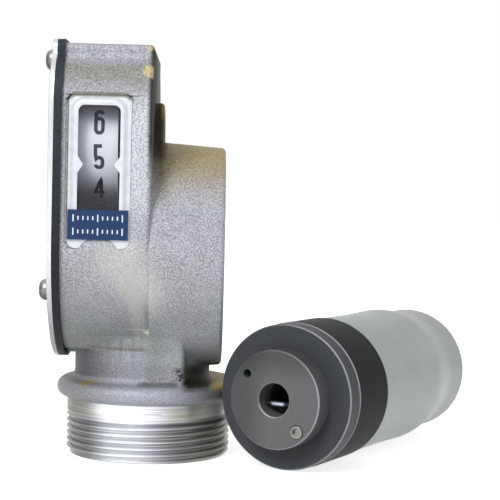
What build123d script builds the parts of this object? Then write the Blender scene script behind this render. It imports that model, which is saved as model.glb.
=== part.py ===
from build123d import *
from math import acos, atan2, cos, degrees, pi, radians, sin, sqrt, tan
import os

# Float level gauge: a cast gauge head on a two-inch pipe thread, and its float lying beside it.
# Millimetres, +Z up, +X to the right of the window. The origin is the centre of the spigot's lower end.

# Spigot, flange and neck of the casting
thread_radius = 29.6
thread_chamfer = 1.4
spigot_height = 20.6
spigot_bore_radius = 24.0
spigot_bore_depth = 24.0
flange_radius = 33.3
flange_height = 6.6
flange_round = 3.25
neck_x = -2.5
neck_radius = 24.5
neck_wall = 3.8
neck_bore_top = 58.0
neck_flare = 2.6
neck_flare_height = 3.2
leg_right = 13.3
leg_half_depth = 25.4
leg_taper = 0.6
leg_round = 2.0
leg_blend_radius = 25.0

# Drum case of the casting
case_left = -29.4
case_right = 0.8
case_half_depth = 41.5
case_bottom = 35.9
case_wall = 3.8
shoulder_top = 142.0
shoulder_radius = 18.0
ear_inset = 9.5
ear_rise = 3.0
ear_corner = 2.0
ear_root_radius = 3.0
case_edge_round = 1.6

# Round spring chamber of the casting
chamber_z = 71.7
chamber_radius = 41.2
chamber_draft = 1.8
chamber_right = 26.2
chamber_wall = 3.2
chamber_edge_round = 1.6
chamber_blend_depth = 4.4
chamber_blend_height = 5.8
chamber_mouth_radius = 27.0
rear_boss_radius = 7.5
rear_boss_height = 3.5

# Cover, gasket and their screws
cover_thickness = 1.7
gasket_thickness = 2.7
cover_overhang = 1.3
cover_edge_round = 0.6
ear_screw_inset = 9.5
ear_screw_z = 139.6
side_screw_inset = 9.9
side_screw_z = 60.5
screw_boss_radius = 4.6
screw_boss_depth = 4.0
cover_screw_head_radius = 3.75
cover_screw_head_height = 3.2
cover_screw_shank_radius = 2.0
cover_screw_length = 8.0
cover_screw_socket = 2.4
cover_screw_socket_depth = 1.2
screw_hole_gap = 0.2

# Window in the front of the case
window_left = -27.3
window_right = -5.9
window_bottom = 75.1
window_top = 126.9
window_corner = 2.2
window_foot_corner = 3.0
window_arch_radius = 7.0
window_arch_top = 79.0
pocket_depth = 1.45
bezel_sink = 0.35
bezel_gap = 0.12
sight_left = -23.9
sight_right = -9.7
sight_bottom = 84.0
sight_top = 123.5
sight_corner = 2.2
pointer_z = 103.5
pointer_depth = 1.9
pointer_height = 5.6
pointer_round = 0.7
lens_margin = 1.9
lens_thickness = 1.1
lens_gap = 0.1
seal_thickness = 0.45
seal_width = 1.0
label_width = 20.4
label_height = 10.1
label_thickness = 0.5
label_x = -16.7
label_z = 83.25

# Number drum and its shaft
drum_window_gap = 5.6
drum_z = 112.5
drum_radius = 28.4
drum_left = -24.5
drum_right = -10.8
drum_rim = 1.5
drum_web = 1.6
drum_hub_radius = 6.0
drum_hub_left = -20.1
drum_web_holes = 5
drum_web_hole_radius = 4.6
drum_web_hole_circle = 16.5
drum_shaft_radius = 2.5
drum_shaft_left = -25.7
drum_boss_radius = 14.0
drum_boss_height = 3.2
drum_boss_round = 1.4
drum_bush_depth = 4.0
drum_bush_wall = 2.0
drum_collar_radius = 5.0
drum_collar_width = 2.4

# Gears, all of one module
gear_module = 1.0
pressure_angle = 20.0
backlash = 0.25
addendum = 0.9
dedendum = 1.25
main_pinion_teeth = 18
cluster_wheel_teeth = 36
cluster_pinion_teeth = 18
drum_wheel_teeth = 26
wheel_width = 1.8
pinion_width = 1.6
gear_side_gap = 0.3

# Movement plate and the stud of the cluster gear
plate_thickness = 1.5
plate_radius = 31.4
plate_screw_circle = 29.2
plate_screw_angles = (8, 148, 212, 328)
plate_screw_head_radius = 2.4
plate_screw_head_height = 1.3
plate_screw_shank_radius = 1.5
plate_screw_length = 3.6
stud_radius = 2.0
clip_thickness = 0.4
clip_radius = 3.4
clip_side_gap = 0.05
stud_end = 0.15

# Main shaft, bushes, reel, tape and spring
shaft_radius = 3.0
shaft_left_end = -7.0
bush_wall = 1.5
bush_flange_radius = 6.0
bush_flange = 1.0
running_gap = 0.04
seat_gap = 0.02
reel_left = 2.4
reel_width = 8.0
reel_flange = 0.8
reel_flange_radius = 22.0
reel_hub_radius = 11.0
tape_radius = 15.0
tape_side_gap = 0.1
arbor_radius = 9.0
spring_case_left = 12.2
spring_case_radius = 26.4
spring_case_wall = 1.0
spring_case_bore_gap = 0.3
spring_cover_thickness = 0.9
spring_cover_hole = 12.0
spring_side_gap = 0.7
arbor_end_gap = 0.4
shaft_end_gap = 0.3
spring_strip = 0.5
spring_inner_radius = 9.8
spring_turns = 4
case_screw_circle = 20.0
case_screw_angles = (30, 150, 270)
case_screw_head_radius = 2.2
case_screw_head_height = 1.2
case_screw_shank_radius = 1.2
case_screw_reach = 2.0

# Float: its own axis runs from the front face to the rear end
float_x = 48.0
float_y = -35.5
float_yaw = 30.5
collar_radius = 25.4
end_cap_radius = 25.15
end_cap_thickness = 6.8
end_cap_edge = 0.5
collar_end = 30.0
collar_edge = 0.5
collar_gap = 0.05
hub_radius = 17.0
hub_height = 8.0
hub_edge = 0.4
hub_bore_radius = 5.8
hub_screw_circle = 13.4
hub_screw_angle = -49.0
hub_hole_angle = 142.0
hub_hole_radius = 1.5
hub_screw_head_radius = 2.25
hub_screw_head_height = 2.5
hub_screw_sink = 1.9
hub_screw_shank_radius = 1.25
hub_screw_length = 11.0
hub_screw_socket = 1.3
hub_screw_socket_depth = 1.2
tape_pin_radius = 0.9
tape_pin_depth = 5.0
tape_pin_drop = 2.0
tape_pin_seat = 3.0
float_length = 114.0
float_end_round = 6.0
float_wall = 2.0
float_neck_radius = 22.0
o_ring_section = 1.2
body_front_radius = 25.1
body_hollow_radius = 24.9
body_hollow_from_end = 66.0
body_ridge_radius = 25.3
body_ridge_from_end = 38.0
body_slope_radius = 24.5
body_slope_from_end = 27.0
body_waist_radius = 23.3
body_waist_from_end = 16.0
body_end_radius = 23.6

# Places that follow from the sizes above
front_face = -case_half_depth
case_round_z = case_bottom + case_half_depth
ear_half_depth = case_half_depth - ear_inset
ear_top = shoulder_top + ear_rise
ear_screw_y = ear_half_depth - ear_screw_inset
side_screw_y = case_half_depth - side_screw_inset
drum_y = front_face + drum_window_gap + drum_radius
case_inside = case_right - case_wall
plate_left = case_inside - plate_thickness
wheel_right = plate_left - gear_side_gap
wheel_left = wheel_right - wheel_width
drum_wheel_right = wheel_left - gear_side_gap
drum_wheel_left = drum_wheel_right - pinion_width
gasket_left = case_left - gasket_thickness
cover_left = gasket_left - cover_thickness
reel_right = reel_left + reel_width
chamber_end = chamber_right - chamber_wall
flange_top = spigot_height + flange_height
bush_radius = shaft_radius + bush_wall
main_distance = gear_module * (main_pinion_teeth + cluster_wheel_teeth) / 2
drum_distance = gear_module * (cluster_pinion_teeth + drum_wheel_teeth) / 2
rear_boss_left = chamber_end - rear_boss_height
shaft_right_end = chamber_end - shaft_end_gap
spring_left = spring_case_left + spring_side_gap
spring_right = chamber_end - spring_case_wall - case_screw_head_height - spring_side_gap
arbor_right = rear_boss_left - arbor_end_gap
cover_screw_places = [
    (side * y, z) for side in (-1, 1) for y, z in ((ear_screw_y, ear_screw_z), (side_screw_y, side_screw_z))
]


def crossing(first, first_radius, second, second_radius):
    """Where two circles cross, on the left hand as one looks from the first centre to the second."""
    span_x = second[0] - first[0]
    span_y = second[1] - first[1]
    span = sqrt(span_x**2 + span_y**2)
    along = (first_radius**2 - second_radius**2 + span**2) / (2 * span)
    across = sqrt(first_radius**2 - along**2)
    x = first[0] + (along * span_x - across * span_y) / span
    y = first[1] + (along * span_y + across * span_x) / span
    return x, y


# The cluster gear meshes with both others, on the side away from the window
cluster_y, cluster_z = crossing((drum_y, drum_z), drum_distance, (0, chamber_z), main_distance)


def rod(radius, left, right, y, z):
    """A round bar along X."""
    return Pos(left, y, z) * Rot(0, 90, 0) * Cylinder(
        radius, right - left, align=(Align.CENTER, Align.CENTER, Align.MIN)
    )


def tube(outer, inner, left, right, y, z):
    """A round sleeve along X."""
    return rod(outer, left, right, y, z) - rod(inner, left - 1, right + 1, y, z)


def around(radius, angle, y=0.0, z=chamber_z):
    """A place on a circle in the YZ plane, its angle counted from +Y towards +Z."""
    return y + radius * cos(radians(angle)), z + radius * sin(radians(angle))


def slab(sketch, left, right):
    """A sketch in the YZ plane, raised between two stations along X."""
    return extrude(Plane.YZ.offset(left) * sketch, right - left)


def front_slab(sketch, front, back):
    """A sketch in the XZ plane, raised between two stations along Y."""
    return extrude(Plane.XZ.offset(-front) * sketch, -(back - front))


def on_circle(centre, radius, angle):
    """A point of a circle, its angle in degrees."""
    return centre[0] + radius * cos(radians(angle)), centre[1] + radius * sin(radians(angle))


def heading(start, end):
    """The angle in degrees at which one point is seen from another."""
    return degrees(atan2(end[1] - start[1], end[0] - start[0]))


def arc_between(centre, radius, start, end):
    """A circle's arc between two angles."""
    middle = (start + end) / 2
    return ThreePointArc(
        on_circle(centre, radius, start), on_circle(centre, radius, middle), on_circle(centre, radius, end)
    )


def case_outline():
    """Drum case seen along X: round bottom, upright sides, round shoulders and an ear on top."""
    corner = (ear_half_depth - ear_corner, ear_top - ear_corner)
    shoulder = (case_half_depth - shoulder_radius, shoulder_top - shoulder_radius)
    root = crossing(corner, ear_corner + ear_root_radius, shoulder, shoulder_radius + ear_root_radius)
    to_root = heading(corner, root)
    shoulder_angle = heading(shoulder, root)
    middle = (0, case_round_z)
    edge = [
        Line((0, ear_top), (corner[0], ear_top)),
        arc_between(corner, ear_corner, 90, to_root),
        arc_between(root, ear_root_radius, 180 + to_root, 180 + shoulder_angle),
        arc_between(shoulder, shoulder_radius, shoulder_angle, 0),
        Line((case_half_depth, shoulder[1]), (case_half_depth, case_round_z)),
        arc_between(middle, case_half_depth, 0, -90),
        Line((0, case_round_z - case_half_depth), (0, ear_top)),
    ]
    half = make_face(Wire(edge))
    return half + mirror(half, about=Plane.YZ)


def round_flange():
    """The bead above the thread, with its full round edge."""
    bead = Pos(0, 0, spigot_height) * Cylinder(
        flange_radius, flange_height, align=(Align.CENTER, Align.CENTER, Align.MIN)
    )
    return fillet(bead.edges().filter_by(GeomType.CIRCLE), flange_round)


def neck_outside():
    """The neck stands off the thread's axis and flares where it meets the flange."""
    top = case_round_z - case_half_depth / 2
    low = spigot_height + flange_height / 2
    foot = neck_radius + neck_flare
    with BuildPart() as neck:
        with BuildSketch(Plane.XZ):
            with BuildLine():
                Polyline((0, top), (0, low), (foot, low), (foot, flange_top))
                ThreePointArc(
                    (foot, flange_top),
                    (neck_radius + 0.28 * neck_flare, flange_top + 0.28 * neck_flare_height),
                    (neck_radius, flange_top + neck_flare_height),
                )
                Polyline((neck_radius, flange_top + neck_flare_height), (neck_radius, top), (0, top))
            make_face()
        revolve(axis=Axis.Z)
    return Pos(neck_x, 0, 0) * neck.part


def leg_outline(radius, half_depth):
    """Seen along X, the leg falls from the chamber's round in a hollow curve and then straight down."""
    low = spigot_height + flange_height / 2
    blend_y = half_depth + leg_blend_radius
    blend_z = chamber_z - sqrt((radius + leg_blend_radius) ** 2 - blend_y**2)
    blend = (blend_y, blend_z)
    to_chamber = heading(blend, (0, chamber_z))
    edge = [
        Line((0, low), (half_depth, low)),
        Line((half_depth, low), (half_depth, blend_z)),
        arc_between(blend, leg_blend_radius, 180, to_chamber),
        Line(on_circle(blend, leg_blend_radius, to_chamber), (0, chamber_z)),
        Line((0, chamber_z), (0, low)),
    ]
    half = make_face(Wire(edge))
    return half + mirror(half, about=Plane.YZ)


def leg_section(radius, half_depth, x):
    """The leg's outline, set at a station along X."""
    return Plane.YZ.offset(x) * leg_outline(radius, half_depth)


def leg():
    """The broad foot that carries the chamber's front and back down to the flange."""
    draft = chamber_draft * (leg_right - case_right) / (chamber_right - case_right)
    left = leg_section(chamber_radius, leg_half_depth, case_right)
    right = leg_section(chamber_radius - draft, leg_half_depth - leg_taper, leg_right)
    foot = loft([left, right], ruled=True)
    faces = foot.faces().sort_by(Axis.X)[-1]
    outer = [e for e in faces.edges() if abs(e.center().Y) > leg_half_depth / 2 and e.length > leg_round]
    outer = [e for e in outer if abs(e.center().Y) > 0.9 * leg_half_depth]
    return fillet(outer, leg_round)


def chamber_blend():
    """The sloping step from the drum case's wall out to the chamber and its leg."""
    start = case_right - chamber_blend_depth
    low_radius = chamber_radius - chamber_blend_height
    low_half = leg_half_depth - chamber_blend_height
    ring = Pos(start, 0, chamber_z) * Rot(0, 90, 0) * Cone(
        low_radius, chamber_radius, chamber_blend_depth, align=(Align.CENTER, Align.CENTER, Align.MIN)
    )
    narrow = leg_section(low_radius, low_half, start)
    wide = leg_section(chamber_radius, leg_half_depth, case_right)
    fill = rod(chamber_radius, start, case_right, 0, chamber_z) & slab(case_outline(), case_left, case_right)
    return ring + loft([narrow, wide], ruled=True) + fill


def chamber_outside():
    """The round spring chamber, with the draft of its pattern and a rounded rim."""
    depth = chamber_right - case_right
    drum = Pos(case_right, 0, chamber_z) * Rot(0, 90, 0) * Cone(
        chamber_radius,
        chamber_radius - chamber_draft,
        depth,
        align=(Align.CENTER, Align.CENTER, Align.MIN),
    )
    return fillet(drum.edges().sort_by(Axis.X)[-1], chamber_edge_round)


def chamber_inside():
    """The chamber's hollow keeps the wall of the drafted outside."""
    depth = chamber_end - case_right
    return Pos(case_right, 0, chamber_z) * Rot(0, 90, 0) * Cone(
        chamber_radius - chamber_wall,
        chamber_radius - chamber_wall - chamber_draft * depth / (chamber_right - case_right),
        depth,
        align=(Align.CENTER, Align.CENTER, Align.MIN),
    )


def window_outline(gap=0.0):
    """The recess for the bezel: round top corners, and two lobes at the foot beside a low arch."""
    width = window_right - window_left
    height = window_top - window_bottom
    middle = (window_left + window_right) / 2
    shape = Pos(middle, window_bottom + height / 2) * Rectangle(width, height)
    shape = fillet(shape.vertices().group_by(Axis.Y)[-1], window_corner)
    shape = fillet(shape.vertices().group_by(Axis.Y)[0], window_foot_corner)
    shape -= Pos(middle, window_arch_top - window_arch_radius) * Circle(window_arch_radius)
    return offset(shape, -gap) if gap else shape


def sight_outline():
    """The opening of the bezel, with a rounded pointer at each side."""
    width = sight_right - sight_left
    height = sight_top - sight_bottom
    middle = (sight_left + sight_right) / 2
    shape = Pos(middle, sight_bottom + height / 2) * Rectangle(width, height)
    shape = fillet(shape.vertices(), sight_corner)
    half = pointer_height / 2
    for edge, inward in ((sight_left, 1), (sight_right, -1)):
        root = edge - inward * pointer_depth
        tip = edge + inward * pointer_depth
        spread = 2 * half
        points = [(root, pointer_z - spread), (tip, pointer_z), (root, pointer_z + spread)]
        shape -= make_face(Polyline(*points, close=True))
    corners = [v for v in shape.vertices() if abs(v.Y - pointer_z) < half + 0.5]
    return fillet(corners, pointer_round)


def lens_outline(gap=0.0):
    """The pane reaches a little past the bezel's opening on every side."""
    width = sight_right - sight_left + 2 * lens_margin - 2 * gap
    height = sight_top - sight_bottom + 2 * lens_margin - 2 * gap
    middle_x = (sight_left + sight_right) / 2
    middle_z = (sight_bottom + sight_top) / 2
    return Pos(middle_x, middle_z) * RectangleRounded(width, height, sight_corner)


def make_housing():
    """One sand casting, machined at the thread, the cover's face, the window and the bearing seats."""
    case = slab(case_outline(), case_left, case_right)
    case = fillet(case.faces().sort_by(Axis.X)[-1].edges(), case_edge_round)
    drum_boss = rod(drum_boss_radius, case_inside, case_right + drum_boss_height, drum_y, drum_z)
    drum_boss = fillet(drum_boss.edges().sort_by(Axis.X)[-1], drum_boss_round)
    spigot = Cylinder(thread_radius, spigot_height + 1, align=(Align.CENTER, Align.CENTER, Align.MIN))
    spigot = chamfer(spigot.edges().sort_by(Axis.Z)[0], thread_chamfer)
    body = case + chamber_outside() + chamber_blend() + leg() + drum_boss
    body += neck_outside() + round_flange() + spigot

    body -= slab(offset(case_outline(), -case_wall), case_left - 1, case_inside)
    body -= chamber_inside()
    body -= rod(chamber_mouth_radius, case_inside - 1, case_right + 1, 0, chamber_z)
    body -= Cylinder(spigot_bore_radius, 2 * spigot_bore_depth)
    neck_bore = Cylinder(neck_radius - neck_wall, neck_bore_top, align=(Align.CENTER, Align.CENTER, Align.MIN))
    body -= Pos(neck_x, 0, 0) * neck_bore

    for y, z in cover_screw_places:
        boss = rod(screw_boss_radius, case_left, case_left + screw_boss_depth, y, z)
        body += boss & slab(case_outline(), case_left, case_right)
        hole_end = cover_left + cover_screw_length
        body -= rod(cover_screw_shank_radius + seat_gap, case_left - 1, hole_end, y, z)
    body += rod(rear_boss_radius, rear_boss_left, chamber_end + 1, 0, chamber_z)
    body -= rod(bush_radius + seat_gap, rear_boss_left - 1, chamber_end, 0, chamber_z)
    drum_bush_radius = drum_shaft_radius + drum_bush_wall
    body -= rod(drum_bush_radius + seat_gap, case_inside - 1, case_inside + drum_bush_depth + 0.2, drum_y, drum_z)
    for angle in plate_screw_angles:
        y, z = around(plate_screw_circle, angle)
        screw_end = plate_left + plate_screw_length
        body -= rod(plate_screw_shank_radius + seat_gap, case_inside - 1, screw_end + 0.2, y, z)
    for angle in case_screw_angles:
        y, z = around(case_screw_circle, angle)
        body -= rod(case_screw_shank_radius + seat_gap, chamber_end - 1, chamber_end + case_screw_reach + 0.2, y, z)

    lens_back = front_face + pocket_depth + lens_thickness + seal_thickness
    body -= front_slab(window_outline(), front_face - 1, front_face + pocket_depth)
    body -= front_slab(lens_outline(), front_face, lens_back)
    body -= front_slab(offset(lens_outline(), -seal_width), front_face, front_face + case_wall + 1)
    return body


def cover_blank(left, right, hole_radius):
    """A sheet with the case's outline, a little larger, and the screw holes."""
    sheet = slab(offset(case_outline(), cover_overhang), left, right)
    for y, z in cover_screw_places:
        sheet -= rod(hole_radius, left - 1, right + 1, y, z)
    return sheet


def make_cover_plate():
    """Machined plate whose outer edge is broken all round."""
    sheet = slab(offset(case_outline(), cover_overhang), cover_left, gasket_left)
    sheet = fillet(sheet.faces().sort_by(Axis.X)[0].edges(), cover_edge_round)
    for y, z in cover_screw_places:
        sheet -= rod(cover_screw_shank_radius + screw_hole_gap, cover_left - 1, gasket_left + 1, y, z)
    return sheet


def make_cover_gasket():
    """The gasket is a ring that leaves the case open inside."""
    sheet = cover_blank(gasket_left, case_left, cover_screw_shank_radius + screw_hole_gap)
    hole = slab(offset(case_outline(), -case_wall), gasket_left - 1, case_left + 1)
    for y, z in cover_screw_places:
        hole -= rod(screw_boss_radius, gasket_left - 2, case_left + 2, y, z)
    return sheet - hole


def socket_screw(head, head_height, shank, length, socket, socket_depth, round_head):
    """A socket-head screw along +X, its head's seat at X = 0."""
    cap = rod(head, -head_height, 0, 0, 0)
    edge = cap.edges().sort_by(Axis.X)[0]
    cap = fillet(edge, 0.75 * head_height) if round_head else chamfer(edge, 0.12 * head)
    cap -= slab(RegularPolygon(socket / 2, 6, major_radius=False), -head_height - 1, socket_depth - head_height)
    return cap + rod(shank, 0, length, 0, 0)


def make_cover_screws():
    """Four round-head screws through plate and gasket."""
    reach = cover_screw_length - seat_gap
    screw = socket_screw(
        cover_screw_head_radius,
        cover_screw_head_height,
        cover_screw_shank_radius,
        reach,
        cover_screw_socket,
        cover_screw_socket_depth,
        True,
    )
    return Compound(children=[Pos(cover_left, y, z) * screw for y, z in cover_screw_places])


def make_window_bezel():
    """Frame let into the casting, with its opening's edge broken."""
    frame = window_outline(bezel_gap) - sight_outline()
    return front_slab(frame, front_face + bezel_sink, front_face + pocket_depth)


def make_window_lens():
    """Clear pane behind the bezel."""
    front = front_face + pocket_depth
    return front_slab(lens_outline(lens_gap), front, front + lens_thickness)


def make_window_seal():
    """Thin ring between the pane and the lip of the casting."""
    front = front_face + pocket_depth + lens_thickness
    ring = lens_outline(lens_gap) - offset(lens_outline(), -seal_width)
    return front_slab(ring, front, front + seal_thickness)


def make_number_label():
    """Plate stuck across the foot of the window."""
    plate = Pos(label_x, label_z) * Rectangle(label_width, label_height)
    return front_slab(plate, front_face - label_thickness, front_face)


def make_number_drum():
    """Turned drum: a thin rim on a web with round holes, and a long hub."""
    rim = tube(drum_radius, drum_radius - drum_rim, drum_left, drum_right, drum_y, drum_z)
    web = rod(drum_radius - drum_rim / 2, drum_right - drum_web, drum_right, drum_y, drum_z)
    hub = rod(drum_hub_radius, drum_hub_left, drum_wheel_left, drum_y, drum_z)
    drum = rim + web + hub - rod(drum_shaft_radius + seat_gap, drum_left - 1, 0, drum_y, drum_z)
    for index in range(drum_web_holes):
        y, z = around(drum_web_hole_circle, 360 * index / drum_web_holes, drum_y, drum_z)
        drum -= rod(drum_web_hole_radius, drum_right - drum_web - 1, drum_right + 1, y, z)
    return drum


def involute(angle):
    """The involute function of an angle in radians."""
    return tan(angle) - angle


def gear_outline(teeth, tooth_angle):
    """A spur gear's outline, one tooth centred on tooth_angle degrees."""
    pitch = gear_module * teeth / 2
    base = pitch * cos(radians(pressure_angle))
    tip = pitch + addendum * gear_module
    root = pitch - dedendum * gear_module
    start = max(base, root + 0.2 * gear_module)
    half_tooth = pi / (2 * teeth) - backlash / (2 * pitch)
    points = []
    for index in range(teeth):
        middle = radians(tooth_angle) + 2 * pi * index / teeth
        flank = []
        for radius in (start, (start + tip) / 2, tip):
            spread = half_tooth + involute(radians(pressure_angle)) - involute(acos(base / radius))
            flank.append((radius, spread))
        foot = half_tooth + involute(radians(pressure_angle))
        left = [(root, foot)] + flank
        points += [(r * cos(middle - a), r * sin(middle - a)) for r, a in left]
        points += [(r * cos(middle + a), r * sin(middle + a)) for r, a in reversed(left)]
    return make_face(Polyline(*points, close=True))


def gear(teeth, tooth_angle, left, right, y, z, bore):
    """A spur gear along X with a plain bore."""
    return slab(Pos(y, z) * gear_outline(teeth, tooth_angle), left, right) - rod(bore, left - 1, right + 1, y, z)


def make_drum_wheel():
    """Gear on the end of the drum's hub, a gap facing the cluster's pinion."""
    angle = heading((drum_y, drum_z), (cluster_y, cluster_z)) + 180 / drum_wheel_teeth
    bore = drum_shaft_radius + seat_gap
    return gear(drum_wheel_teeth, angle, drum_wheel_left, drum_wheel_right, drum_y, drum_z, bore)


def make_drum_shaft():
    """Plain ground shaft, its right end in the casting's round boss."""
    return rod(drum_shaft_radius, drum_shaft_left, case_inside + drum_bush_depth - 0.2, drum_y, drum_z)


def make_drum_bush():
    """Flanged bush of the drum shaft."""
    outer = drum_shaft_radius + drum_bush_wall
    body = rod(outer, case_inside, case_inside + drum_bush_depth, drum_y, drum_z)
    body += rod(bush_flange_radius, case_inside - bush_flange, case_inside, drum_y, drum_z)
    bore = drum_shaft_radius + running_gap
    return body - rod(bore, case_inside - bush_flange - 1, case_inside + drum_bush_depth + 1, drum_y, drum_z)


def make_drum_collar():
    """Collar that holds the drum on its shaft."""
    right = drum_hub_left
    left = right - drum_collar_width
    return tube(drum_collar_radius, drum_shaft_radius + seat_gap, left, right, drum_y, drum_z)


def make_frame_plate():
    """Round movement plate over the chamber's mouth, with the bush's and the stud's holes."""
    plate = rod(plate_radius, plate_left, case_inside, 0, chamber_z)
    plate -= rod(bush_radius + seat_gap, plate_left - 1, case_inside + 1, 0, chamber_z)
    plate -= rod(stud_radius + seat_gap, plate_left - 1, case_inside + 1, cluster_y, cluster_z)
    for angle in plate_screw_angles:
        y, z = around(plate_screw_circle, angle)
        plate -= rod(plate_screw_shank_radius + screw_hole_gap, plate_left - 1, case_inside + 1, y, z)
    return plate


def make_frame_screws():
    """Four low-head screws of the movement plate."""
    screws = []
    for angle in plate_screw_angles:
        y, z = around(plate_screw_circle, angle)
        head = rod(plate_screw_head_radius, plate_left - plate_screw_head_height, plate_left, y, z)
        screws.append(head + rod(plate_screw_shank_radius, plate_left, plate_left + plate_screw_length, y, z))
    return Compound(children=screws)


def make_cluster_stud():
    """Fixed stud, flush at the plate's back and long enough for gear and clip."""
    left = drum_wheel_left - clip_side_gap - clip_thickness - stud_end
    return rod(stud_radius, left, case_inside, cluster_y, cluster_z)


def make_cluster_gear():
    """Wheel and pinion cut in one, the wheel in the main pinion's plane."""
    to_main = heading((cluster_y, cluster_z), (0, chamber_z)) + 180 / cluster_wheel_teeth
    to_drum = heading((cluster_y, cluster_z), (drum_y, drum_z))
    wheel = slab(Pos(cluster_y, cluster_z) * gear_outline(cluster_wheel_teeth, to_main), wheel_left, wheel_right)
    pinion_outline = Pos(cluster_y, cluster_z) * gear_outline(cluster_pinion_teeth, to_drum)
    pinion = slab(pinion_outline, drum_wheel_left, wheel_left)
    bore = rod(stud_radius + running_gap, drum_wheel_left - 1, wheel_right + 1, cluster_y, cluster_z)
    return wheel + pinion - bore


def make_cluster_clip():
    """Spring clip on the end of the stud."""
    right = drum_wheel_left - clip_side_gap
    ring = tube(clip_radius, stud_radius + seat_gap, right - clip_thickness, right, cluster_y, cluster_z)
    mouth = Pos(right, cluster_y, cluster_z - clip_radius) * Box(4 * clip_thickness, 1.6 * stud_radius, 2 * clip_radius - 1)
    return ring - mouth


def make_main_shaft():
    """Shaft that carries pinion, reel and spring arbor."""
    return rod(shaft_radius, shaft_left_end, shaft_right_end, 0, chamber_z)


def make_main_pinion():
    """Pinion on the left end of the main shaft, a tooth facing the cluster's wheel."""
    angle = heading((0, chamber_z), (cluster_y, cluster_z))
    return gear(main_pinion_teeth, angle, wheel_left, wheel_right, 0, chamber_z, shaft_radius + seat_gap)


def make_main_bush_front():
    """Flanged bush in the movement plate."""
    body = rod(bush_radius, plate_left, case_inside, 0, chamber_z)
    body += rod(bush_flange_radius, case_inside, case_inside + bush_flange, 0, chamber_z)
    return body - rod(shaft_radius + running_gap, plate_left - 1, case_inside + bush_flange + 1, 0, chamber_z)


def make_main_bush_rear():
    """Plain bush in the boss of the chamber's end wall."""
    return tube(bush_radius, shaft_radius + running_gap, rear_boss_left, chamber_end, 0, chamber_z)


def make_tape_reel():
    """Reel with two thin flanges on a hub."""
    reel = rod(reel_hub_radius, reel_left, reel_right, 0, chamber_z)
    reel += rod(reel_flange_radius, reel_left, reel_left + reel_flange, 0, chamber_z)
    reel += rod(reel_flange_radius, reel_right - reel_flange, reel_right, 0, chamber_z)
    return reel - rod(shaft_radius + seat_gap, reel_left - 1, reel_right + 1, 0, chamber_z)


def make_wound_tape():
    """The turns of steel tape between the reel's flanges."""
    left = reel_left + reel_flange + tape_side_gap
    right = reel_right - reel_flange - tape_side_gap
    return tube(tape_radius, reel_hub_radius + seat_gap, left, right, 0, chamber_z)


def make_spring_arbor():
    """Hub that takes the inner end of the spring."""
    return tube(arbor_radius, shaft_radius + seat_gap, spring_left, arbor_right, 0, chamber_z)


def spiral_edge(side):
    """One edge of the spiral strip, as half circles about two centres; side is 1 outside, -1 inside."""
    outer = spring_case_radius - spring_case_wall - spring_case_bore_gap
    growth = (outer - spring_strip - spring_inner_radius) / (2 * spring_turns)
    shift = side * spring_strip / 2
    arcs = []
    radius = spring_inner_radius + spring_strip / 2
    for turn in range(spring_turns):
        upper = radius + shift
        arcs.append(ThreePointArc((upper, 0), (0, upper), (-upper, 0)))
        lower = radius + growth + shift
        arcs.append(ThreePointArc((growth - lower, 0), (growth, -lower), (growth + lower, 0)))
        radius += 2 * growth
    return arcs


def make_power_spring():
    """Flat spiral spring, wound from the arbor out to the case's wall."""
    outside = spiral_edge(1)
    inside = spiral_edge(-1)
    ends = [
        Line(outside[0] @ 0, inside[0] @ 0),
        Line(outside[-1] @ 1, inside[-1] @ 1),
    ]
    strip = make_face(Wire(outside + inside + ends))
    return slab(Pos(0, chamber_z) * strip, spring_left, spring_right)


def make_spring_case():
    """Round cup screwed to the chamber's end wall, its floor let over the rear boss."""
    cup = rod(spring_case_radius, spring_case_left, chamber_end, 0, chamber_z)
    inner = spring_case_radius - spring_case_wall
    cup -= rod(inner, spring_case_left - 1, chamber_end - spring_case_wall, 0, chamber_z)
    cup -= rod(rear_boss_radius + seat_gap, spring_case_left, chamber_end + 1, 0, chamber_z)
    for angle in case_screw_angles:
        y, z = around(case_screw_circle, angle)
        cup -= rod(case_screw_shank_radius + screw_hole_gap, spring_case_left, chamber_end + 1, y, z)
    return cup


def make_spring_case_cover():
    """Disc that closes the cup round the arbor."""
    left = spring_case_left - spring_cover_thickness
    return tube(spring_case_radius, spring_cover_hole, left, spring_case_left, 0, chamber_z)


def make_spring_case_screws():
    """Three screws through the cup's floor into the end wall."""
    seat = chamber_end - spring_case_wall
    screws = []
    for angle in case_screw_angles:
        y, z = around(case_screw_circle, angle)
        head = rod(case_screw_head_radius, seat - case_screw_head_height, seat, y, z)
        screws.append(head + rod(case_screw_shank_radius, seat, chamber_end + case_screw_reach, y, z))
    return Compound(children=screws)


# The float's own frame: local X to the left and Y up as one faces it, Z from its face to its rear end.
yaw = radians(float_yaw)
float_plane = Plane(
    origin=(float_x, float_y, collar_radius),
    x_dir=(-cos(yaw), sin(yaw), 0),
    z_dir=(sin(yaw), cos(yaw), 0),
)


def bar(radius, start, end, x=0.0, y=0.0):
    """A round bar along the float's axis, in the float's own frame."""
    return Pos(x, y, start) * Cylinder(radius, end - start, align=(Align.CENTER, Align.CENTER, Align.MIN))


def hub_place(angle):
    """A screw's place on the hub, its angle counted as one faces the float, from the right towards up."""
    return -hub_screw_circle * cos(radians(angle)), hub_screw_circle * sin(radians(angle))


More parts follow.
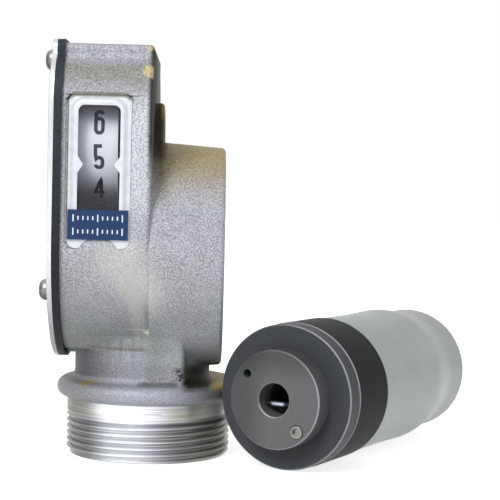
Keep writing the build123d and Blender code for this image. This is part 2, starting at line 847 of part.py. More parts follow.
def make_float_hub():
    """Turned disc with the tape's bore, a counterbored screw hole and its empty twin."""
    disc = bar(hub_radius, -hub_height, 0)
    disc = chamfer(disc.edges().sort_by(Axis.Z)[0], hub_edge)
    disc -= bar(hub_bore_radius, -hub_height - 1, 1)
    x, y = hub_place(hub_screw_angle)
    disc -= bar(hub_screw_head_radius + screw_hole_gap, -hub_height - 1, -hub_height + hub_screw_sink, x, y)
    disc -= bar(hub_screw_shank_radius + screw_hole_gap, -hub_height - 1, 1, x, y)
    x, y = hub_place(hub_hole_angle)
    disc -= bar(hub_hole_radius, -hub_height - 1, 1, x, y)
    pin_z = -hub_height + tape_pin_depth
    disc -= Pos(0, -tape_pin_drop, pin_z) * Rot(0, 90, 0) * Cylinder(tape_pin_radius + seat_gap, 2 * tape_pin_reach())
    return disc


def tape_pin_reach():
    """Half the length of the cross pin: the bore's half width at the pin, and its seats."""
    return sqrt(hub_bore_radius**2 - tape_pin_drop**2) + tape_pin_seat


def make_float_tape_pin():
    """Bright cross pin low in the bore, where the tape is hooked on."""
    pin_z = -hub_height + tape_pin_depth
    return Pos(0, -tape_pin_drop, pin_z) * Rot(0, 90, 0) * Cylinder(tape_pin_radius, 2 * tape_pin_reach())


def make_float_hub_screw():
    """Socket-head screw of the hub, its head sunk in a counterbore."""
    x, y = hub_place(hub_screw_angle)
    screw = socket_screw(
        hub_screw_head_radius,
        hub_screw_head_height,
        hub_screw_shank_radius,
        hub_screw_length,
        2 * hub_screw_socket,
        hub_screw_socket_depth,
        False,
    )
    return Pos(x, y, -hub_height + hub_screw_sink) * Rot(0, -90, 0) * screw


def make_float_end_cap():
    """Turned end disc with the bore and the screw's tapped hole."""
    disc = bar(end_cap_radius, 0, end_cap_thickness)
    disc = chamfer(disc.edges().sort_by(Axis.Z)[0], end_cap_edge)
    disc -= bar(hub_bore_radius, -1, end_cap_thickness + 1)
    x, y = hub_place(hub_screw_angle)
    tapped = hub_screw_length + hub_screw_sink - hub_height + 0.3
    return disc - bar(hub_screw_shank_radius + seat_gap, -1, tapped, x, y)


def make_float_collar():
    """Sleeve behind the end disc, its front edge broken."""
    sleeve = bar(collar_radius, end_cap_thickness, collar_end)
    sleeve = chamfer(sleeve.edges().sort_by(Axis.Z)[0], collar_edge)
    return sleeve - bar(float_neck_radius + collar_gap, end_cap_thickness - 1, collar_end + 1)


def make_float_o_ring():
    """Seal pressed between the end disc and the mouth of the float's body."""
    start = end_cap_thickness
    end = start + o_ring_section
    outer = float_neck_radius - seat_gap
    inner = float_neck_radius - float_wall
    return bar(outer, start, end) - bar(inner, start - 1, end + 1)


def make_float_body():
    """Moulded hollow body: a neck inside the collar, a soft bulge, a waist and a rounded end."""
    mouth = end_cap_thickness + o_ring_section
    inner_neck = float_neck_radius - float_wall
    hollow = body_waist_radius - float_wall
    hollow_place = float_length - body_hollow_from_end
    ridge_place = float_length - body_ridge_from_end
    slope_place = float_length - body_slope_from_end
    waist_place = float_length - body_waist_from_end
    with BuildPart() as body:
        with BuildSketch(Plane.XZ):
            with BuildLine():
                Line((inner_neck, mouth), (float_neck_radius, mouth))
                Line((float_neck_radius, mouth), (float_neck_radius, collar_end))
                Line((float_neck_radius, collar_end), (body_front_radius, collar_end))
                straight = Line((body_front_radius, collar_end), (body_hollow_radius, hollow_place))
                rise = TangentArc(straight @ 1, (body_ridge_radius, ridge_place), tangent=straight % 1)
                fall = TangentArc(rise @ 1, (body_slope_radius, slope_place), tangent=rise % 1)
                waist = TangentArc(fall @ 1, (body_waist_radius, waist_place), tangent=fall % 1)
                Line(waist @ 1, (body_end_radius, float_length - float_end_round))
                RadiusArc(
                    (body_end_radius, float_length - float_end_round),
                    (body_end_radius - float_end_round, float_length),
                    -float_end_round,
                )
                Line((body_end_radius - float_end_round, float_length), (0, float_length))
                Polyline(
                    (0, float_length),
                    (0, float_length - float_wall),
                    (hollow - float_end_round, float_length - float_wall),
                    (hollow, float_length - float_end_round - float_wall),
                    (hollow, collar_end + float_wall),
                    (inner_neck, collar_end),
                    (inner_neck, mouth),
                )
            make_face()
        revolve(axis=Axis.Z)
    return body.part


nodes = {
    "housing": make_housing,
    "cover_plate": make_cover_plate,
    "cover_gasket": make_cover_gasket,
    "cover_screws": make_cover_screws,
    "window_bezel": make_window_bezel,
    "window_lens": make_window_lens,
    "window_seal": make_window_seal,
    "number_label": make_number_label,
    "number_drum": make_number_drum,
    "drum_wheel": make_drum_wheel,
    "drum_shaft": make_drum_shaft,
    "drum_bush": make_drum_bush,
    "drum_collar": make_drum_collar,
    "frame_plate": make_frame_plate,
    "frame_screws": make_frame_screws,
    "cluster_stud": make_cluster_stud,
    "cluster_gear": make_cluster_gear,
    "cluster_clip": make_cluster_clip,
    "main_shaft": make_main_shaft,
    "main_pinion": make_main_pinion,
    "main_bush_front": make_main_bush_front,
    "main_bush_rear": make_main_bush_rear,
    "tape_reel": make_tape_reel,
    "wound_tape": make_wound_tape,
    "spring_arbor": make_spring_arbor,
    "power_spring": make_power_spring,
    "spring_case": make_spring_case,
    "spring_case_cover": make_spring_case_cover,
    "spring_case_screws": make_spring_case_screws,
}
float_nodes = {
    "float_hub": make_float_hub,
    "float_tape_pin": make_float_tape_pin,
    "float_hub_screw": make_float_hub_screw,
    "float_end_cap": make_float_end_cap,
    "float_collar": make_float_collar,
    "float_o_ring": make_float_o_ring,
    "float_body": make_float_body,
}

os.makedirs("parts", exist_ok=True)
for name, make in nodes.items():
    export_step(make(), f"parts/{name}.step")
for name, make in float_nodes.items():
    export_step(float_plane.location * make(), f"parts/{name}.step")
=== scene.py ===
from math import cos, radians, sin

import bpy
from mathutils import Matrix, Vector


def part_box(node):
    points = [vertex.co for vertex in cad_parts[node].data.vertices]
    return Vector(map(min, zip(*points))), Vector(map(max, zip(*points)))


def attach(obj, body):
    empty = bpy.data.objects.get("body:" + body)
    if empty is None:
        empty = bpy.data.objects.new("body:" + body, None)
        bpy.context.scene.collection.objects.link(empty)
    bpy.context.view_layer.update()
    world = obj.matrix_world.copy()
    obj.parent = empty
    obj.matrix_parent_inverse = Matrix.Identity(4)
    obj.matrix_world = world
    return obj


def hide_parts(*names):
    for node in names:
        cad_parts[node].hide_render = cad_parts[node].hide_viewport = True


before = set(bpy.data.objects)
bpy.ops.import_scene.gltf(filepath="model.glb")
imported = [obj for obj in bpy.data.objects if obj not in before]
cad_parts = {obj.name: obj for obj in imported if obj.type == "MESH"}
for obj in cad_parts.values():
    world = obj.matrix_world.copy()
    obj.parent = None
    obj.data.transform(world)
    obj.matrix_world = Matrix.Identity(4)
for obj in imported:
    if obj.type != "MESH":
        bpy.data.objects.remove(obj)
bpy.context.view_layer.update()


# The casting: drum case, spring chamber, neck and flange poured as one in sand, from aluminium.
# Its skin is grainy, with yellow tints and a few flaws of the mould; much of its light and shade is
# painted into its colour.
class Field:
    """A value that varies over a surface; sums with it add the nodes that work them out."""

    def __init__(self, nodes, socket):
        self.nodes = nodes
        self.socket = socket

    def math(self, operation, first, second=0.0):
        return self.nodes.node("ShaderNodeMath", {"operation": operation}, {0: first, 1: second})

    def __add__(self, other):
        return self.math("ADD", self, other)

    def __radd__(self, other):
        return self.math("ADD", other, self)

    def __sub__(self, other):
        return self.math("SUBTRACT", self, other)

    def __rsub__(self, other):
        return self.math("SUBTRACT", other, self)

    def __mul__(self, other):
        return self.math("MULTIPLY", self, other)

    def __rmul__(self, other):
        return self.math("MULTIPLY", other, self)

    def absolute(self):
        return self.math("ABSOLUTE", self)

    def square_root(self):
        return self.math("SQRT", self)

    def at_least(self, other):
        return self.math("MAXIMUM", self, other)

    def ramp(self, low, high, start=0.0, end=1.0):
        """Goes smoothly from start to end while the value goes from low to high."""
        settings = {"interpolation_type": "SMOOTHSTEP"}
        sockets = {0: self, 1: low, 2: high, 3: start, 4: end}
        return self.nodes.node("ShaderNodeMapRange", settings, sockets)

    def between(self, rise, full, fall, gone):
        """A mask that is 1 between two values, with soft ends."""
        return self.ramp(rise, full) * self.ramp(fall, gone, 1.0, 0.0)


class Nodes:
    """The nodes of one material, or of the world."""

    def __init__(self, tree):
        self.tree = tree

    def node(self, kind, settings, sockets, output=0):
        """Makes a node of this kind and gives one of its outputs."""
        made = self.tree.nodes.new(kind)
        for key, value in settings.items():
            setattr(made, key, value)
        for key, value in sockets.items():
            if isinstance(value, Field):
                self.tree.links.new(value.socket, made.inputs[key])
            else:
                made.inputs[key].default_value = value
        return Field(self, made.outputs[output])


class Finish(Nodes):
    """One material, with the surface's own place in millimetres."""

    def __init__(self, name, roughness=0.5, metallic=0.0, **constants):
        self.material = bpy.data.materials.new(name)
        self.material.use_nodes = True
        super().__init__(self.material.node_tree)
        self.shader = self.tree.nodes["Principled BSDF"]
        self.shader.inputs["Roughness"].default_value = roughness
        self.shader.inputs["Metallic"].default_value = metallic
        for socket, value in constants.items():
            self.shader.inputs[socket.replace("_", " ")].default_value = value
        self.place = self.node("ShaderNodeTexCoord", {}, {}, "Object")
        self.x, self.y, self.z = (
            self.node("ShaderNodeSeparateXYZ", {}, {0: self.place}, axis) * 1000.0 for axis in "XYZ"
        )

    def noise(self, size, detail=2.0, stretch=(1.0, 1.0, 1.0), seed=0.0):
        """Cloudy noise from 0 to 1 with features of about this many millimetres."""
        scale = tuple(1000.0 / size / axis for axis in stretch)
        sockets = {"Vector": self.place, "Scale": scale, "Location": (seed, seed, 0)}
        place = self.node("ShaderNodeMapping", {}, sockets)
        sockets = {"Vector": place, "Scale": 1.0, "Detail": detail}
        return self.node("ShaderNodeTexNoise", {}, sockets, "Fac")

    def facing(self, axis):
        """How far the surface faces along an axis, from -1 to 1."""
        normal = self.node("ShaderNodeNewGeometry", {}, {}, "Normal")
        return self.node("ShaderNodeSeparateXYZ", {}, {0: normal}, axis)

    def spot(self, x, y, z, size, soft=0.5):
        """A mask that is 1 in a ball round one place."""
        sockets = {0: self.place, 1: (x / 1000, y / 1000, z / 1000)}
        distance = {"operation": "DISTANCE"}
        far = self.node("ShaderNodeVectorMath", distance, sockets, "Value") * 1000.0
        return far.ramp(size * (1 - soft), size, 1.0, 0.0)

    def beyond(self, x, z, half_x, half_z, corner):
        """How far a place lies outside a round-cornered window in the front, in millimetres."""
        beside = (self.x - x).absolute() - (half_x - corner)
        above = (self.z - z).absolute() - (half_z - corner)
        beside = beside.at_least(0.0)
        above = above.at_least(0.0)
        return (beside * beside + above * above).square_root() - corner

    def mix(self, amount, first, second):
        """Colour between two colours, which are sockets 6 and 7 of a Mix node."""
        sockets = {"Factor": amount, 6: first, 7: second}
        return self.node("ShaderNodeMix", {"data_type": "RGBA", "clamp_factor": True}, sockets, 2)

    def scale(self, colour, amount):
        """A colour made lighter or darker."""
        grey = self.node("ShaderNodeCombineColor", {}, {0: amount, 1: amount, 2: amount})
        settings = {"data_type": "RGBA", "blend_type": "MULTIPLY"}
        return self.node("ShaderNodeMix", settings, {"Factor": 1.0, 6: colour, 7: grey}, 2)

    def use(self, colour, roughness=None, bump=None, depth=0.0):
        """Joins the worked-out values to the shader; the bump's depth is in millimetres."""
        self.link(colour, "Base Color")
        if roughness is not None:
            self.link(roughness, "Roughness")
        if bump is not None:
            sockets = {"Strength": 1.0, "Distance": depth / 1000, "Height": bump}
            self.link(self.node("ShaderNodeBump", {}, sockets), "Normal")
        return self.material

    def link(self, value, socket):
        if isinstance(value, Field):
            self.tree.links.new(value.socket, self.shader.inputs[socket])
        else:
            self.shader.inputs[socket].default_value = value


def activate(piece):
    """Selects this piece alone."""
    bpy.ops.object.select_all(action="DESELECT")
    piece.select_set(True)
    bpy.context.view_layer.objects.active = piece


# Corners that lie closer than this, in metres, are one corner.
weld = 1e-6


def copy_of(node, name):
    """A copy of a carried-over piece with its loose triangles merged."""
    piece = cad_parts[node].copy()
    piece.data = piece.data.copy()
    piece.parent = None
    piece.matrix_world = Matrix.Identity(4)
    piece.name = name
    bpy.context.collection.objects.link(piece)
    activate(piece)
    bpy.ops.object.mode_set(mode="EDIT")
    bpy.ops.mesh.select_all(action="SELECT")
    bpy.ops.mesh.remove_doubles(threshold=weld)
    bpy.ops.object.mode_set(mode="OBJECT")
    return piece


cast = Finish("cast aluminium", metallic=0.3)
grain = cast.noise(0.52, 3.0)
fine = cast.noise(0.28, 3.0, seed=3.0)
cloud = cast.noise(16.0, 3.0, seed=5.0)
blotches = cast.noise(3.5, 3.0, seed=9.0)
faces_up = cast.facing("Z")
silver = (0.385, 0.395, 0.435, 1)
dim_grey = (0.215, 0.23, 0.22, 1)
pale = (0.57, 0.59, 0.65, 1)
slate = (0.27, 0.28, 0.31, 1)
ash = (0.52, 0.52, 0.5, 1)
stone = (0.42, 0.425, 0.4, 1)
shade = (0.26, 0.26, 0.235, 1)
tan = (0.35, 0.285, 0.125, 1)
lead_grey = (0.21, 0.215, 0.225, 1)
violet = (0.35, 0.36, 0.42, 1)
shadow_black = (0.06, 0.062, 0.066, 1)
pewter = (0.27, 0.278, 0.31, 1)
black_olive = (0.022, 0.021, 0.012, 1)
olive = (0.14, 0.115, 0.05, 1)
umber = (0.1, 0.1, 0.08, 1)
mustard = (0.3, 0.21, 0.04, 1)
gold = (0.58, 0.47, 0.26, 1)
brown = (0.12, 0.11, 0.075, 1)
graphite = (0.12, 0.122, 0.115, 1)
coal = (0.03, 0.03, 0.028, 1)
bare_metal = (0.85, 0.85, 0.85, 1)

# The bare skin is silver above, with painted shade low down; it is paler beside the window, with a
# painted highlight on the leg.
low_down = cast.z.ramp(40.0, 76.0, 1.0, 0.0)
cloud_and_low_shade = cloud.ramp(0.35, 0.65) * 0.15 + low_down * (0.75 - cast.x.ramp(3.0, 8.0) * 0.22)
colour = cast.mix(cloud_and_low_shade, silver, dim_grey)
beside_window = cast.x.ramp(-7.5, -5.0) * cast.z.between(80.0, 96.0, 124.0, 130.0)
colour = cast.mix(beside_window * 0.7, colour, pale)
chamber_face = cast.x.ramp(2.0, 6.0) * cast.z.ramp(74.0, 92.0)
colour = cast.mix(chamber_face * 0.5, colour, slate)
smooth = cast.spot(-9.0, -41.0, 71.0, 15.0, 0.9) + cast.spot(-1.5, -41.0, 60.0, 13.0, 0.9)
colour = cast.mix(smooth * 0.65, colour, ash)
# A painted highlight: a lighter band running down the leg.
leg_highlight = (cast.x + cast.z * 0.167 - 5.5).absolute()
leg_highlight = leg_highlight.ramp(1.6, 3.4, 1.0, 0.0) * cast.z.between(39.0, 47.0, 60.0, 74.0)
colour = cast.mix(leg_highlight * 0.5, colour, stone)

# Painted light and shade, and yellow tints: the case's upper band, the chamber's top, the neck, flange
# and right side.
# Painted shade on the shoulder band below the top of the case, broken into blotches.
band = cast.z.between(127.0, 134.5, 136.5, 139.0) * cast.y.ramp(-34.0, -30.0, 1.0, 0.0)
colour = cast.mix(band * (blotches.ramp(0.2, 0.7) * 0.5 + 0.5), colour, shade)
# A painted warm reflection on the chamber's top.
chamber_top_reflection = cast.x.ramp(0.5, 3.5) * cast.z.ramp(89.0, 109.0)
colour = cast.mix(chamber_top_reflection * (blotches.ramp(0.2, 0.6) * 0.25 + 0.75), colour, tan)
# Painted shade on the neck and the flange, darkest on the neck's left under the case, lighter to the
# right.
left_of_leg = cast.x.ramp(-2.2, 0.2, 1.0, 0.0)
rightward = cast.x.ramp(-26.0, -4.0)
neck = cast.z.ramp(38.2, 39.2, 1.0, 0.0) * left_of_leg
foot = neck + cast.z.ramp(27.0, 28.5, 1.0, 0.0)
colour = cast.mix(foot, colour, cast.mix(rightward, lead_grey, violet))
neck_shadow_tone = cast.mix(rightward, shadow_black, pewter)
colour = cast.mix(neck * cast.z.ramp(28.0, 29.5), colour, neck_shadow_tone)
# Painted shade in the crease under the case and at the toe of the leg.
crease_shade = cast.z.between(38.5, 39.3, 39.5, 40.6) * cast.x.ramp(-24.0, -18.0) * left_of_leg
toe_shade = cast.z.between(26.9, 27.4, 27.9, 28.6) * cast.x.between(-4.0, -1.0, 10.0, 12.0)
colour = cast.mix(crease_shade * 0.45 + toe_shade * 0.6, colour, black_olive)
# Painted shade and dark reflection on the case's right side, olive lower down, fading towards the back.
frontal = cast.y.ramp(-24.0, 26.0, 1.0, 0.45)
right_side_shade = cast.x.between(-1.2, 0.7, 3.4, 6.0) * cast.z.ramp(97.0, 112.0) * frontal
olive_side_shade = cast.x.between(-0.6, 1.4, 3.0, 9.0) * cast.z.ramp(82.0, 104.0) * frontal
colour = cast.mix(olive_side_shade * 0.6, colour, olive)
boss_edge = cast.x.between(2.6, 3.6, 4.2, 5.0) * cast.z.ramp(119.0, 124.0)
# Painted shade in the undercut beside the leg, on the flange's top behind the leg, and on the flange's
# right side.
under = cast.x.ramp(11.4, 15.2) * cast.z.between(26.0, 28.0, 32.0, 35.0)
flange_top = cast.z.between(24.5, 26.0, 28.5, 30.0) * faces_up.ramp(0.2, 0.7)
behind = flange_top * cast.x.between(12.0, 15.0, 21.0, 24.5)
flange_side_shade = cast.x.ramp(2.0, 28.0) * cast.z.ramp(26.0, 28.0, 1.0, 0.0)
colour = cast.mix(flange_side_shade * 0.75, colour, umber)
colour = cast.mix(right_side_shade * 0.96 + under * 0.8 + behind * 0.6, colour, black_olive)
# A yellow tint on the boss's edge and on the flange's top corners.
corner_yellow = flange_top * (cast.x.ramp(21.5, 24.5) + cast.spot(-21.0, -21.0, 27.0, 4.5, 0.9))
colour = cast.mix(boss_edge * 0.8 + corner_yellow, colour, mustard)

# Painted highlights on two small facets, painted shade in the window's recess, and painted light and
# shade that follow the form.
facet_highlight = cast.spot(0.0, -37.2, 135.6, 3.5, 0.35) + cast.spot(-0.6, -32.5, 144.3, 2.4, 0.6) * 0.7
colour = cast.mix(facet_highlight, colour, gold)
# The opening's middle, half its width and height, and its corners' radius, in millimetres.
window_opening = (-16.6, 101.0, 10.7, 25.9, 3.0)
# Painted shade in the window's recess, along its top and its left side.
rim = cast.beyond(*window_opening).between(-0.5, -0.1, 0.6, 1.2)
rim = rim * cast.y.ramp(-39.0, -37.0, 1.0, 0.0)
left_recess_shade = cast.x.ramp(-28.0, -26.5, 1.0, 0.0) * cast.z.ramp(74.0, 80.0) * 0.6
recess_shade = rim * (cast.z.ramp(124.0, 126.5) * 0.75 + left_recess_shade)
colour = cast.mix(recess_shade, colour, brown)
# Painted shade high on the case, painted light low down, and painted shade on the case's foot and on the
# ledge's upper faces.
upper_shade = cast.z.between(120.0, 126.0, 132.0, 138.0) * 0.12
lower_light = cast.z.between(33.0, 36.0, 42.0, 54.0) * cast.x.ramp(-2.2, 1.0, 0.16, 0.2)
case_foot_shade = cast.z.between(39.0, 40.0, 43.0, 45.0) * cast.x.between(-24.0, -12.0, -1.8, -0.6)
colour = cast.scale(colour, lower_light - upper_shade - case_foot_shade * 0.14 + 1.0)
ledge_shade = cast.z.between(42.0, 43.0, 47.0, 48.0) * cast.x.between(-11.0, -8.0, -0.6, 0.4)
colour = cast.mix(ledge_shade * faces_up.ramp(0.05, 0.4) * 0.85, colour, graphite)

# The sand's grain is calmer on the smooth places; two pits, a scar and a scuff come on top.
calm = smooth * 0.5 + low_down * 0.42 + leg_highlight * 0.15
sparkle = grain.ramp(0.36, 0.64, 0.69, 1.31) * fine.ramp(0.3, 0.7, 0.82, 1.18)
colour = cast.scale(colour, sparkle * (1.0 - calm) + calm)
pits = cast.spot(-18.0, -24.0, 29.8, 0.9, 0.3) + cast.spot(-8.6, -28.0, 32.6, 0.8, 0.3)
scar = cast.spot(11.6, -25.5, 30.5, 3.4, 0.6) * cast.noise(1.3, 3.0, seed=7.0).ramp(0.45, 0.6)
colour = cast.mix(pits + scar * 0.9, colour, coal)
scuff = cast.spot(9.0, -40.0, 56.0, 3.0, 0.7) * cast.noise(0.7, 3.0, seed=11.0).ramp(0.5, 0.62)
colour = cast.mix(scuff, colour, bare_metal)
casting_skin = cast.use(
    colour,
    roughness=grain.ramp(0.3, 0.7, 0.58, 0.42) + right_side_shade * 0.35,
    bump=(grain * 0.6 + fine * 0.4) * (1.0 - calm * 0.8) - pits * 2.0 - scar * 1.2,
    depth=0.5,
)

spigot_cut = 0.0204
casting = copy_of("housing", "casting")
bpy.ops.object.mode_set(mode="EDIT")
bpy.ops.mesh.select_all(action="SELECT")
bpy.ops.mesh.bisect(plane_co=(0, 0, spigot_cut), plane_no=(0, 0, 1), clear_inner=True)
bpy.ops.mesh.select_all(action="DESELECT")
bpy.ops.object.mode_set(mode="OBJECT")
for edge in casting.data.edges:
    ends = [casting.data.vertices[index].co.z for index in edge.vertices]
    edge.select = all(abs(height - spigot_cut) < weld for height in ends)
bpy.ops.object.mode_set(mode="EDIT")
bpy.ops.mesh.select_mode(type="EDGE")
bpy.ops.mesh.bridge_edge_loops()
bpy.ops.object.mode_set(mode="OBJECT")
casting.data.materials.clear()
casting.data.materials.append(casting_skin)
bpy.ops.object.shade_smooth_by_angle(angle=radians(24))
weigh = casting.modifiers.new("even shading", "WEIGHTED_NORMAL")
weigh.keep_sharp = True
bpy.ops.object.modifier_apply(modifier="even shading")
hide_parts("housing")
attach(casting, "head")


# The pipe thread: turned and cut on the casting's spigot, eleven turns to the inch, with a painted
# highlight and painted shade.
# The cut runs out below a plain turned land; the bore behind it is left as bored.
turned = Finish("turned spigot", metallic=0.6)
rings = turned.noise(0.5, 2.0, stretch=(60.0, 60.0, 1.0))
marks = turned.noise(6.0, 3.0, stretch=(1.0, 1.0, 0.5), seed=2.0)
# A painted highlight across the left middle, and painted shade and dark reflection towards the right.
shine = turned.x.between(-22.0, -11.0, -5.0, 15.0)
right_shade = turned.x.ramp(2.0, 28.0)
land = turned.z.ramp(15.0, 16.0)
cut_grey = (0.29, 0.295, 0.31, 1)
oiled = (0.29, 0.275, 0.21, 1)
oiled_land = (0.32, 0.3, 0.22, 1)
highlight_white = (0.93, 0.95, 1.0, 1)
right_shade_grey = (0.36, 0.36, 0.32, 1)
land_shade = (0.1, 0.1, 0.085, 1)
land_glint = (0.95, 0.95, 0.86, 1)
scratch_dark = (0.06, 0.06, 0.05, 1)
colour = turned.mix(marks.ramp(0.4, 0.7) * 0.35, cut_grey, oiled)
colour = turned.mix(land * marks.ramp(0.3, 0.6) * 0.5, colour, oiled_land)
colour = turned.mix(shine * (land * 0.08 + 0.92), colour, highlight_white)
colour = turned.mix(right_shade * (0.85 - land * 0.45), colour, right_shade_grey)
colour = turned.mix(land * turned.x.ramp(-28.0, -15.0, 0.8, 0.0), colour, land_shade)
colour = turned.mix(land * turned.x.ramp(15.0, 22.0), colour, land_glint)
# Painted shade in the roots of the thread.
from_axis = (turned.x * turned.x + turned.y * turned.y).square_root()
root_shade = from_axis.ramp(28.25, 29.3, 0.66, 1.08)
colour = turned.scale(colour, rings.ramp(0.3, 0.7, 0.78, 1.14) * root_shade)
scratch = turned.spot(2.4, -29.6, 17.6, 3.6, 0.2) * turned.z.between(17.4, 17.55, 17.65, 17.8)
colour = turned.mix(scratch * 0.7, colour, scratch_dark)
turned_metal = turned.use(colour, rings.ramp(0.3, 0.7, 0.42, 0.28), bump=rings, depth=0.03)

thread_top = 0.0155
pitch = 0.002309
crest = 0.0296
root = 0.0282
bore = 0.024
steps = 128
turns = 10
turns_below = 2
profile = [
    (root, 0.0),
    (root, 0.0003),
    (crest, 0.00105),
    (crest, 0.00128),
    (root, 0.00203),
    (root, pitch),
]
outline = [(radius, 0, height - turns_below * pitch) for radius, height in profile]
strip = bpy.data.meshes.new("spigot_thread")
strip.from_pydata(outline, [(i, i + 1) for i in range(len(outline) - 1)], [])
thread = bpy.data.objects.new("spigot_thread", strip)
bpy.context.collection.objects.link(thread)
activate(thread)
screw = thread.modifiers.new("turns", "SCREW")
screw.screw_offset = pitch
screw.iterations = turns
screw.steps = steps
screw.render_steps = steps
screw.use_smooth_shade = False
bpy.ops.object.modifier_apply(modifier="turns")
for vertex in strip.vertices:
    radius = vertex.co.xy.length
    height = vertex.co.z
    fade = max(0.0, min(1.0, (thread_top - height) / pitch))
    if height <= 0:
        wanted, height = root, 0.0
    elif height >= thread_top:
        wanted, height = crest, thread_top
    else:
        wanted = min(crest - (crest - radius) * fade, root + height)
    vertex.co = (vertex.co.x * wanted / radius, vertex.co.y * wanted / radius, height)
outline = [
    (crest, 0, thread_top),
    (crest, 0, spigot_cut),
    (bore, 0, spigot_cut),
    (bore, 0, 0),
    (root, 0, 0),
]
lathe = bpy.data.meshes.new("spigot_lathe")
lathe.from_pydata(outline, [(i, i + 1) for i in range(len(outline) - 1)], [])
ring = bpy.data.objects.new("spigot_lathe", lathe)
bpy.context.collection.objects.link(ring)
activate(ring)
turn = ring.modifiers.new("turn", "SCREW")
turn.steps = steps
turn.render_steps = steps
turn.use_smooth_shade = False
bpy.ops.object.modifier_apply(modifier="turn")
thread.select_set(True)
bpy.context.view_layer.objects.active = thread
bpy.ops.object.join()
bpy.ops.object.mode_set(mode="EDIT")
bpy.ops.mesh.select_all(action="SELECT")
bpy.ops.mesh.remove_doubles(threshold=2 * weld)
bpy.ops.mesh.dissolve_degenerate(threshold=weld)
bpy.ops.mesh.normals_make_consistent(inside=False)
bpy.ops.object.mode_set(mode="OBJECT")
bpy.ops.object.shade_smooth_by_angle(angle=radians(25))
thread.data.materials.append(turned_metal)
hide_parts("housing")
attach(thread, "head")


# The cover: a flat machined aluminium plate that closes the left side of the drum case.
# A thick black rubber gasket seals it, and four stainless round-head screws hold it on.
def paint(name, material):
    """Gives a carried-over piece its finish."""
    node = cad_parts[name]
    node.data.materials.clear()
    node.data.materials.append(material)


plate = Finish("cover plate", metallic=0.9)
brushed = plate.noise(0.35, 2.0, stretch=(1.0, 14.0, 1.0))
smudge = plate.noise(18.0, 3.0, seed=4.0)
colour = plate.mix(smudge.ramp(0.4, 0.7) * 0.5, (0.78, 0.79, 0.81, 1), (0.62, 0.63, 0.64, 1))
# Painted shade: the plate is darker low down and on its face turned to the left.
plate_shade = plate.z.ramp(34.0, 80.0, 0.3, 0.88) * (1.0 - plate.facing("X").ramp(-0.95, -0.7, 0.2, 0.0))
colour = plate.scale(colour, brushed.ramp(0.3, 0.7, 0.93, 1.05) * plate_shade)
cover_aluminium = plate.use(colour, brushed.ramp(0.3, 0.7, 0.4, 0.28), bump=brushed, depth=0.02)
paint("cover_plate", cover_aluminium)

rubber = Finish("gasket rubber", roughness=0.62, Specular_IOR_Level=0.3)
crumb = rubber.noise(0.5, 3.0)
colour = rubber.mix(crumb.ramp(0.3, 0.7), (0.006, 0.009, 0.014, 1), (0.016, 0.021, 0.03, 1))
# Painted light and shade: the gasket is lighter high up and darker low down.
colour = rubber.scale(colour, rubber.z.ramp(60.0, 130.0, 0.4, 1.3))
gasket_rubber = rubber.use(colour, crumb.ramp(0.3, 0.7, 0.7, 0.5), bump=crumb, depth=0.05)
paint("cover_gasket", gasket_rubber)

steel = Finish("stainless screw", metallic=1.0)
scratches = steel.noise(0.3, 3.0)
colour = steel.mix(scratches.ramp(0.35, 0.7), (0.36, 0.355, 0.34, 1), (0.24, 0.235, 0.23, 1))
# Painted light and shade: darker underneath and on faces turned to the left, lighter on top.
underside_shade = steel.facing("Z").ramp(-0.9, 0.6, 0.25, 1.15)
left_shade = steel.facing("X").ramp(-0.95, -0.25, 0.3, 1.0)
colour = steel.scale(colour, underside_shade * left_shade)
stainless = steel.use(colour, scratches.ramp(0.3, 0.7, 0.22, 0.36), bump=scratches, depth=0.01)
paint("cover_screws", stainless)


# The window: a bright metal frame with two reading pointers, let into the front of the casting.
# Its inner edge steps down to a clear pane, which beds on a thin seal.
bright = Finish("window frame", metallic=0.2)
cast_grain = bright.noise(2.6, 2.0)
colour = bright.mix(cast_grain.ramp(0.35, 0.7), (0.71, 0.74, 0.8, 1), (0.64, 0.67, 0.73, 1))
# The clear opening inside the frame, given in the same way.
sight_opening = (-16.8, 103.7, 7.1, 19.8, 2.2)
reach = bright.beyond(*sight_opening)
ridge = reach.ramp(0.9, 1.9, 1.0, 0.0)
# Painted shade in the shallow channel outside the raised ridge.
channel = reach.between(1.3, 2.0, 2.2, 2.9)
colour = bright.scale(colour, 1.0 - channel * 0.22)
outer = bright.beyond(*window_opening).ramp(-1.1, -0.3)
shadow = outer * (bright.z.ramp(124.5, 126.0) * 0.85 + bright.x.ramp(-27.2, -26.4, 1.0, 0.0) * 0.4)
colour = bright.mix(shadow, colour, (0.13, 0.12, 0.09, 1))
bezel_metal = bright.use(
    colour,
    roughness=cast_grain.ramp(0.3, 0.7, 0.5, 0.4),
    bump=ridge + cast_grain * 0.1,
    depth=0.35,
)
bezel = copy_of("window_bezel", "window_frame")
soften = bezel.modifiers.new("edges", "BEVEL")
soften.width = 0.0003
soften.segments = 3
soften.limit_method = "ANGLE"
soften.angle_limit = radians(40)
bpy.ops.object.modifier_apply(modifier="edges")
bpy.ops.object.shade_smooth_by_angle(angle=radians(30))
bezel.data.materials.clear()
bezel.data.materials.append(bezel_metal)
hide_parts("window_bezel")
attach(bezel, "head")

pane = Finish("clear pane", roughness=0.04, Alpha=0.02)
haze = pane.noise(6.0, 2.0)
# Painted shade: the pane turns dark towards its bottom and top, so the drum behind it looks shaded there.
drum_shade_veil = pane.z.ramp(84.0, 100.0, 0.72, 0.0) + pane.z.ramp(116.0, 123.5, 0.0, 0.3)
pane_clear = pane.use((0.03, 0.035, 0.045, 1), haze.ramp(0.3, 0.7, 0.03, 0.09))
pane.link(drum_shade_veil + 0.02, "Alpha")
paint("window_lens", pane_clear)
paint("window_seal", gasket_rubber)


